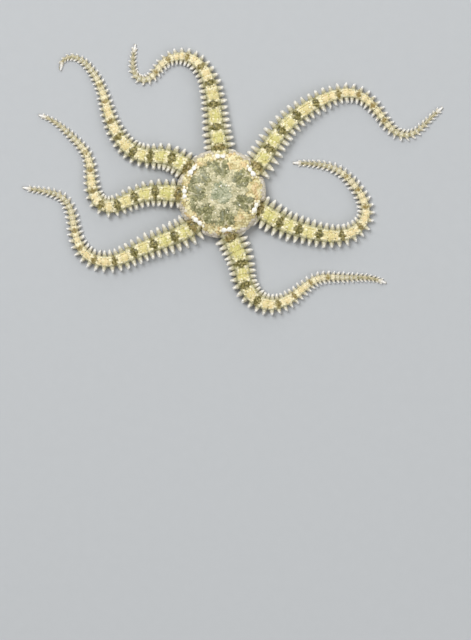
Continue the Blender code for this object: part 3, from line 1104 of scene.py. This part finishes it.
def addSpines(copies, arm, distance, size, under):
    facts = spineFacts
    half, along, share = arm.halfWidth(distance), arm.along(distance), arm.share(distance)
    for side in (-1, 1):
        across = leftOf(along) * side
        for height, tilt, length, forward, low in facts["rows"][2:] if under else facts["rows"]:
            uneven = between(facts["uneven"], share) * chance.uniform(-1, 1)
            lean = radians(between(facts["lean"], share) + uneven)
            rise = radians(tilt + chance.uniform(-facts["tilt"], facts["tilt"]))
            direction = (across * cos(lean) + along * sin(lean)) * cos(rise) + up * sin(rise)
            foot = arm.point(distance) + along * size * forward + across * half * facts["start"]
            foot.z = height * half
            reach = between(facts["reaches"], share) * mm * arm.spineReach
            reach *= chance.uniform(*facts["long"])
            whole = (half * (1 - facts["start"]) + reach) * length
            whole = spineRoom(arm, foot, direction, whole * (facts["underDisc"] if under else 1.0))
            radius = between(facts["radii"], share) * mm * chance.uniform(*facts["thick"])
            radius = min(radius, facts["stout"] * whole)
            turn = direction.to_track_quat("Z", "Y").to_matrix()
            columns = [turn.col[0] * radius, turn.col[1] * radius * facts["flat"], turn.col[2] * whole]
            marks = {"tip": lambda local: local[:, 2], "share": share, "tone": chance.random(), "low": low}
            copies.add(axesMatrix(foot, *columns), **marks)


bumpFacts = {
    "places": ((0.14, 0.64), (-0.3, 0.6), (0.36, 0.2)),  # along in joints, aside in half widths
    "off": (0.22, 0.14),  # the most that one may be off its place
    "size": (0.15, 0.13),  # how wide and high, of the half width
    "small": (0.6, 1.2),  # how this size differs from bump to bump
    "clear": 0.5 * mm,  # none so near a dark spot
    "corner": (0.45 * mm, 0.5),  # where one stands at a dark spot
    "cornerOff": (0.15, 0.06),  # of the first of these, and in half widths
    "cornerSize": (0.15, 0.17),
    "closer": 0.3,  # how much nearer they stand at the arm's tip
    "wide": (0.8, 1.2),  # how all of them differ
    "long": (0.9, 1.4),
    "high": (0.7, 1.1),
    "drop": 0.42,  # how much lower the back is at its side
}


def addBump(copies, arm, distance, aside, wide, high):
    facts = bumpFacts
    half, along = arm.halfWidth(distance), arm.along(distance)
    rise = armSizes["height"] - facts["drop"] * aside * aside
    spot = arm.point(distance) + leftOf(along) * aside * half + up * rise * half
    wide *= half * chance.uniform(*facts["wide"])
    long = wide * chance.uniform(*facts["long"])
    high *= half * chance.uniform(*facts["high"])
    columns = [along * long, leftOf(along) * wide, up * high]
    toSpot = arm.toSpot(distance) / mm
    copies.add(axesMatrix(spot, *columns), share=arm.share(distance), toSpot=toSpot, aside=abs(aside))


def addBumps(copies, arm, distance, size):
    wide, high = bumpFacts["size"]
    offAlong, offAside = bumpFacts["off"]
    for x, y in bumpFacts["places"]:
        for side in (-1, 1):
            place = distance + (x + chance.uniform(-offAlong, offAlong)) * size
            aside = side * (y + chance.uniform(-offAside, offAside))
            if arm.toSpot(place) > bumpFacts["clear"]:
                addBump(copies, arm, place, aside, wide * chance.uniform(*bumpFacts["small"]), high)


def addCorners(copies, arm):  # the cream lumps where a pale stretch meets a dark spot
    facts = bumpFacts
    along, aside = facts["corner"]
    offAlong, offAside = facts["cornerOff"]
    for spot in arm.spots[1:]:
        nearer = 1.0 - facts["closer"] * arm.share(spot)
        for ahead in (-1, 1):
            for side in (-1, 1):
                place = spot + ahead * along * chance.uniform(1 - offAlong, 1 + offAlong) * nearer
                out = side * (aside + chance.uniform(-offAside, offAside))
                addBump(copies, arm, place, out, *facts["cornerSize"])


tipFacts = {
    "length": 0.95 * mm,
    "past": 0.05 * mm,
    "halfWidth": 0.23 * mm,
    "halfHeight": 0.19 * mm,
    "lift": 0.2 * mm,
}


def addTip(copies, arm):  # the smooth pointed plate that ends an arm
    facts = tipFacts
    start = arm.length - facts["length"]
    along = (arm.point(arm.length) - arm.point(start)).normalized()
    long = facts["length"] + facts["past"]
    columns = [leftOf(along) * facts["halfWidth"], up * facts["halfHeight"], along * long]
    spot = arm.point(start) + up * facts["lift"]
    marks = {"tip": lambda local: 0.5 + local[:, 2] / 2, "share": 1.0, "tone": 0.5, "low": 0.0}
    copies.add(axesMatrix(spot, *columns), **marks)


def jointMatrix(arm, distance, size, side=1):
    along, half = arm.along(distance), arm.halfWidth(distance)
    return axesMatrix(arm.point(distance), along * size, leftOf(along) * half * side, up * half)


def plateMarks(arm, distance, size):
    def toSpot(local):
        return [arm.toSpot(distance + x * size) / mm for x in local[:, 0]]

    return {
        "share": arm.share(distance),
        "tone": chance.random(),
        "toSpot": toSpot,
        "aside": lambda local: np.abs(local[:, 1]),
        "ridge": lambda local: np.clip(1 - np.abs(local[:, 0] - 0.3) * 4, 0, 1),
        "root": 1.0 - smooth(distance / mm, *dressFacts["root"]),
    }


dressFacts = {
    "first": 2.1 * mm,  # the first joint lies this side of here, and has a ventral plate alone
    "discEdge": 4.7 * mm,  # joints on this side of it are under the disc
    "root": (5.2, 6.4),  # in mm: where the rusty root ends
    "flap": (0.28, 0.6, 0.12),  # where a tentacle scale is in its joint
    "flapSize": (0.26, 0.15, 0.07),
}


def dressArm(arm):
    facts = dressFacts
    copies = {title: Copies(f"arm{arm.number}{title}", piece[0]) for title, piece in armPieces.items()}
    for distance, size in arm.joints(facts["first"] - arm.joint):
        under = distance < facts["discEdge"]
        along, half, share = arm.along(distance), arm.halfWidth(distance), arm.share(distance)
        matrix = jointMatrix(arm, distance, size)
        copies["VentralPlates"].add(matrix, share=share, tone=chance.random(), mouth=0.0)
        if distance < facts["first"]:
            continue
        marks = plateMarks(arm, distance, size)
        if not under:
            copies["DorsalPlates"].add(matrix, **marks)
            addBumps(copies["Bumps"], arm, distance, size)
        for side in (-1, 1):
            copies["LateralPlates"].add(jointMatrix(arm, distance, size, side), **marks)
            x, y, z = facts["flap"]
            long, wide, thick = facts["flapSize"]
            columns = [along * long * size, leftOf(along) * side * wide * half, -up * thick * half]
            flap = axesMatrix(matrix @ Vector((x, y * side, z)), *columns)
            copies["TentacleScales"].add(flap, share=share, tone=chance.random(), mouth=0.0)
        addSpines(copies["Spines"], arm, distance, size, under)
    addCorners(copies["Bumps"], arm)
    addTip(copies["Spines"], arm)
    for title, (model, look, slot) in armPieces.items():
        copies[title].joined(look, slot)


for arm in arms:
    dressArm(arm)
print("stage: arms dressed")

# The disc: scales over the whole of it, a pair of shields and two white knobs over each arm.


def surfaceAt(x, y, below=False):  # the disc's surface over or under this place, and the way off it
    direction = up if below else -up
    start = Vector((x, y, 0)) - direction * (0.0 if below else 5 * mm)
    hit, place, normal, index = skin.ray_cast(start, direction)
    return (place, normal) if hit else (None, None)


def layMatrix(place, normal, heading, length, width, height):  # flat on the surface, x along heading
    out = (heading - normal * heading.dot(normal)).normalized()
    return axesMatrix(place, out * length, normal.cross(out) * width, normal * height)


shieldFacts = {
    "inner": 1.75 * mm,
    "outer": 4.0 * mm,
    "lean": radians(8.8),  # each away from the arm's middle line, so that the pair meets there
    "overlap": 1.1,  # of the width that fills its share
    "thickness": 0.3 * mm,
    "sunk": 0.84,  # of the thickness
    "knobs": (  # how far out and aside, the size, and how white; the lengths in mm
        (4.2, 0.31, 0.36, 1.0),
        (4.25, 0.8, 0.26, 0.5),
        (3.93, 0.66, 0.2, 0.3),
        (4.5, 0.5, 0.2, 0.3),
    ),
    "knobSize": (0.9, 1.0, 0.75),
    "knobLift": 0.2 * mm,
    "smallKnobLift": 0.08 * mm,
    "differ": (0.9, 1.1),  # in thickness, and a knob in size
    # how far in scales may reach under a shield, in mm: from its side, inner and outer end
    "ragged": ((0.05, 0.6), (0.1, 0.6), (0.05, 0.35)),
}


def modelShield():
    facts = {
        "corner": 0.33,
        "cornerSteps": 4,
        "narrow": shieldFacts["inner"] / shieldFacts["outer"],
        "rings": ((0, 1), (0.5, 1.0), (0.8, 0.95), (0.95, 0.82), (1.0, 0.4)),
    }
    return template(wedgeForm("radialShield", facts))


def shieldEdge(local):  # 1 all round a shield
    return np.clip(np.hypot(local[:, 0] * 0.8, local[:, 1] - 0.1) * 4 - 1.1, 0, 1)


def shieldSeam(local):  # 1 where the two shields of a pair meet
    return np.clip(-local[:, 1] * 5 - 0.9, 0, 1) * np.clip(local[:, 0] * 3 + 0.7, 0, 1)


def addShield(copies, arm, side):
    facts = shieldFacts
    heading = flatVector(arm.azimuth + side * facts["lean"])
    reach, length = (facts["inner"] + facts["outer"]) / 2, facts["outer"] - facts["inner"]
    width = 2 * facts["outer"] * sin(facts["lean"]) * facts["overlap"]
    place, normal = surfaceAt(*(middle + heading * reach).xy)
    height = facts["thickness"] * chance.uniform(*facts["differ"])
    place = place - normal * facts["sunk"] * facts["thickness"]
    matrix = layMatrix(place, normal, heading, length, side * width, height)
    copies.add(matrix, edge=shieldEdge, seam=shieldSeam)


def addKnobs(copies, arm, side):
    facts = shieldFacts
    radial = flatVector(arm.azimuth)
    long, wide, high = facts["knobSize"]
    for out, aside, size, white in facts["knobs"]:
        place, normal = surfaceAt(*(middle + (radial * out + leftOf(radial) * side * aside) * mm).xy)
        size *= chance.uniform(*facts["differ"]) * mm
        place = place + up * facts["knobLift" if white == 1.0 else "smallKnobLift"]
        copies.add(layMatrix(place, normal, radial, size * long, size * wide, size * high), tone=white)


grainFacts = {
    "count": 40,
    "reach": ((0, 0.7), (1, 3.2)),  # in mm
    "inward": 1.3,  # above 1 there are more near the middle
    "size": (0.06, 0.13),  # in mm
    "long": (0.9, 1.6),
    "height": 0.6,
    "lift": 0.04 * mm,
    "white": (0.0, 0.7),
}


def addGrains(copies):  # white grains strewn over the middle of the disc
    facts = grainFacts
    for number in range(facts["count"]):
        angle = tau * (number + chance.uniform(-0.5, 0.5)) / facts["count"]
        reach = between(facts["reach"], chance.random() ** facts["inward"]) * mm
        heading = flatVector(angle)
        place, normal = surfaceAt(*(middle + heading * reach).xy)
        size = chance.uniform(*facts["size"]) * mm
        long = size * chance.uniform(*facts["long"])
        place = place + normal * facts["lift"]
        matrix = layMatrix(place, normal, heading, long, size, size * facts["height"])
        copies.add(matrix, tone=chance.uniform(*facts["white"]))


def dressShields():
    shields, knobs = Copies("radialShields", modelShield()), Copies("shieldKnobs", knob)
    grains = Copies("discGrains", bump)
    for arm in arms:
        for side in (-1, 1):
            addShield(shields, arm, side)
            addKnobs(knobs, arm, side)
    addGrains(grains)
    shields.joined("shields", "disc")
    knobs.joined("knobs", "disc")
    grains.joined("knobs", "disc")


scaleFacts = {
    "count": 1000,
    "radius": 5.2 * mm,
    "half": ((0.0, 0.25), (1.8, 0.21), (3.5, 0.19), (5.4, 0.17)),  # in mm, by mm from the middle
    "off": 0.3,  # the most that one may be off its place, in its half width
    "size": (0.85, 1.2),
    "long": 1.15,
    "tilt": (1.75, 5.25),  # in degrees
    "thickness": 0.22,
    "lowest": 1.7 * mm,  # of those on the back
    "armNotch": (4.75 * mm, 0.75 * mm),  # none further out than this and so near an arm
    "bellyFrom": 2.3 * mm,
    "bellyOffArm": 1.02 * mm,
    "bellySize": 1.1,
}


def raised(local):  # 1 at a scale's far edge, where the painted highlight goes
    return np.clip(local[:, 0] * 0.7 + local[:, 2] * 0.5, 0, 1)


def underShield(flat):
    facts = shieldFacts
    side, inner, outer = facts["ragged"]
    for arm in arms:
        x = flat.x * cos(arm.azimuth) + flat.y * sin(arm.azimuth)
        y = abs(flat.y * cos(arm.azimuth) - flat.x * sin(arm.azimuth))
        edge = 2 * x * sin(facts["lean"]) - chance.uniform(*side) * mm
        start = facts["inner"] + chance.uniform(*inner) * mm
        end = facts["outer"] - chance.uniform(*outer) * mm
        if start < x < end and y < edge:
            return True
    return False


def addScale(copies, place, normal, heading, half, **marks):
    facts = scaleFacts
    tilt = Matrix.Rotation(radians(chance.uniform(*facts["tilt"])), 3, heading.cross(normal))
    matrix = layMatrix(place, tilt @ normal, heading, half * facts["long"], half, half * facts["thickness"])
    copies.add(matrix, **marks)


def addDiscScales(scales, bellyScales):  # spread as the seeds of a sunflower, and shaken
    facts = scaleFacts
    notchFrom, notchHalf = facts["armNotch"]
    goldenAngle = 2.39996
    for number in range(facts["count"]):
        radius = facts["radius"] * sqrt((number + 0.5) / facts["count"])
        half = between(facts["half"], radius / mm) * mm
        angle = number * goldenAngle + chance.uniform(-facts["off"], facts["off"]) * half / radius
        radius += chance.uniform(-facts["off"], facts["off"]) * half
        heading = flatVector(angle)
        spot = middle + heading * radius
        size = half * chance.uniform(*facts["size"])
        place, normal = surfaceAt(*spot.xy)
        distance, apart = nearestArm(spot)[1]
        inNotch = radius > notchFrom and apart < notchHalf
        if place and not underShield(spot - middle) and not inNotch and place.z > facts["lowest"]:
            marks = {"raised": raised, "tone": chance.random(), **zonesAt(place, 0.15)}
            addScale(scales, place, normal, heading, size, **marks)
        place, normal = surfaceAt(*spot.xy, below=True)
        if place and apart > facts["bellyOffArm"] and radius > facts["bellyFrom"]:
            marks = {"share": 0.85, "tone": chance.random(), "mouth": 0.0}
            addScale(bellyScales, place, normal, heading, size * facts["bellySize"], **marks)


rimFacts = {
    "heights": (1.85, 1.6, 1.35, 1.1, 0.85, 0.65),  # in mm
    "half": 0.16 * mm,
    "apart": 1.7,  # from one to the next, in halves
    "off": 0.2,
    "upward": 0.4,
    "outside": 8 * mm,  # from where the rim is looked for
    "widest": 5.5 * mm,  # what lies further out is an arm
    "offArm": 1.05 * mm,
}


def addRimScales(copies):
    facts = rimFacts
    count = round(tau * scaleFacts["radius"] / (facts["apart"] * facts["half"]))
    for height in facts["heights"]:
        for number in range(count):
            outward = flatVector(tau * (number + chance.uniform(-facts["off"], facts["off"])) / count)
            start = middle + outward * facts["outside"] + up * height * mm
            hit, place, normal, index = skin.ray_cast(start, -outward)
            onRim = hit and (place - middle).xy.length < facts["widest"]
            if onRim and nearestArm(place)[1][1] > facts["offArm"]:
                marks = {"raised": raised, "tone": chance.random(), **zonesAt(place)}
                addScale(copies, place, normal, up * facts["upward"] + outward, facts["half"], **marks)


def dressDisc():
    scales, bellyScales = Copies("discScales", scale), Copies("bellyScales", scale)
    addDiscScales(scales, bellyScales)
    addRimScales(scales)
    scales.joined("scales", "disc")
    bellyScales.joined("belly", "disc")


dressShields()
dressDisc()
print("stage: disc dressed")

# The mouth: jaws between the arms, with shields outside them and papillae along their edges.

jawFacts = {
    "tip": 0.5 * mm,
    "back": 1.8 * mm,
    "bottom": 0.12 * mm,
    "top": 0.9 * mm,
    "width": 0.86,  # of the room between the arms at its back
    "shield": (2.1 * mm, 0.2 * mm),  # how far out and up
    "shieldSize": (0.42 * mm, 0.42 * mm, 0.12 * mm),  # the second for each radian of the gap
    "papillae": ((0.6, 0.1, 0.13), (0.86, 0.26, 0.12), (1.14, 0.4, 0.11)),  # out, aside, size, in mm
    "papillaSize": (1.1, 0.8, 1.0),
    "papillaLift": 0.18 * mm,
}


def modelJaw():
    facts = {
        "corner": 0.25,
        "cornerSteps": 3,
        "narrow": 0.25,
        "rings": ((0, 1), (0.7, 1.0), (0.88, 0.9), (1.0, 0.6)),
    }
    return template(wedgeForm("jaw", facts))


def nearMouth(local):  # less towards a jaw's back
    return np.clip(0.6 - (local[:, 0] + 0.5), 0, 1)


def addJaw(copies, out, gap):
    facts = jawFacts
    spot = middle + out * (facts["tip"] + facts["back"]) / 2 + up * facts["top"]
    width = 2 * facts["back"] * sin(gap / 2) * facts["width"]
    long, high = facts["back"] - facts["tip"], facts["bottom"] - facts["top"]
    matrix = axesMatrix(spot, out * long, leftOf(out) * width, up * high)
    copies.add(matrix, share=0.0, tone=chance.random(), mouth=nearMouth)


def addOralShield(copies, out, gap):
    reach, lift = jawFacts["shield"]
    long, wide, thick = jawFacts["shieldSize"]
    spot = middle + out * reach + up * lift
    matrix = axesMatrix(spot, out * long, leftOf(out) * wide * gap, -up * thick)
    copies.add(matrix, share=0.0, tone=chance.random(), mouth=0.0)


def addPapillae(copies, out):
    long, wide, high = jawFacts["papillaSize"]
    for side in (-1, 1):
        for reach, aside, size in jawFacts["papillae"]:
            spot = middle + (out * reach + leftOf(out) * side * aside) * mm + up * jawFacts["papillaLift"]
            size *= mm
            matrix = axesMatrix(spot, out * size * long, leftOf(out) * size * wide, -up * size * high)
            copies.add(matrix, share=0.0, tone=chance.random(), mouth=0.5)


def dressMouth():
    jaws, shields = Copies("jaws", modelJaw()), Copies("oralShields", scale)
    papillae = Copies("oralPapillae", bump)
    for angle, gap in gaps:
        out = flatVector(angle)
        addJaw(jaws, out, gap)
        addOralShield(shields, out, gap)
        addPapillae(papillae, out)
    for copies in (jaws, shields, papillae):
        copies.joined("belly", "mouth")


dressMouth()
print("stage: mouth dressed")

for model in templates:
    bpy.data.objects.remove(model)

# The floor, the light and the camera.

floorFacts = {"size": 1.6, "colour": (0.47, 0.49, 0.51), "other": (0.49, 0.51, 0.53)}


def floorLook(start):
    speck = start.noise(start.placeInMm(), 0.8)
    return {"Base Color": speck.mix(floorFacts["colour"], floorFacts["other"])}


def makeFloor():
    deselectAll()
    bpy.ops.mesh.primitive_plane_add(size=floorFacts["size"])
    floor = bpy.context.active_object
    floor.name = "floor"
    floor.data.materials.append(newMaterial("paleFloor", floorLook, Roughness=0.7))


lightFacts = {  # where, how wide in metres, and how strong
    "key": ((-0.16, 0.18, 0.4), 0.24, 1.5),
    "fill": ((0.28, -0.16, 0.3), 0.36, 0.6),
    "back": ((0.1, 0.36, 0.16), 0.24, 0.3),
}
worldFacts = {"colour": (1.0, 0.985, 0.95), "strength": 0.34}


def makeLights():
    for name, (spot, size, power) in lightFacts.items():
        data = bpy.data.lights.new(name, "AREA")
        data.size = size
        data.energy = power
        light = bpy.data.objects.new(name, data)
        light.location = spot
        light.rotation_euler = (-Vector(spot)).to_track_quat("-Z", "Y").to_euler()
        bpy.context.scene.collection.objects.link(light)
    world = bpy.data.worlds.new("studio")
    world.use_nodes = True
    background = world.node_tree.nodes["Background"]
    background.inputs["Color"].default_value = (*worldFacts["colour"], 1.0)
    background.inputs["Strength"].default_value = worldFacts["strength"]
    bpy.context.scene.world = world
    bpy.context.scene.view_settings.view_transform = "Standard"


cameraFacts = {
    "pixelsToMm": 8.5,
    "photoFrame": (471, 640),
    "discInPhoto": (221.5, 193.8),
    "lens": 200,
    "sensor": 36,
}


def makeCamera():  # over the photo's middle, and so high that its height fills the frame
    facts = cameraFacts
    wide, high = facts["photoFrame"]
    aside = (wide / 2 - facts["discInPhoto"][0]) / facts["pixelsToMm"] * mm
    below = (high / 2 - facts["discInPhoto"][1]) / facts["pixelsToMm"] * mm
    tall = high / facts["pixelsToMm"] * mm
    data = bpy.data.cameras.new("camera")
    data.lens = facts["lens"]
    data.sensor_fit = "VERTICAL"
    data.sensor_height = facts["sensor"]
    data.clip_start = 0.01
    data.clip_end = 10
    camera = bpy.data.objects.new("camera", data)
    camera.location = middle + Vector((aside, -below, tall * facts["lens"] / facts["sensor"]))
    bpy.context.scene.collection.objects.link(camera)
    bpy.context.scene.camera = camera


makeFloor()
makeLights()
makeCamera()
print("stage: floor, lights and camera made")
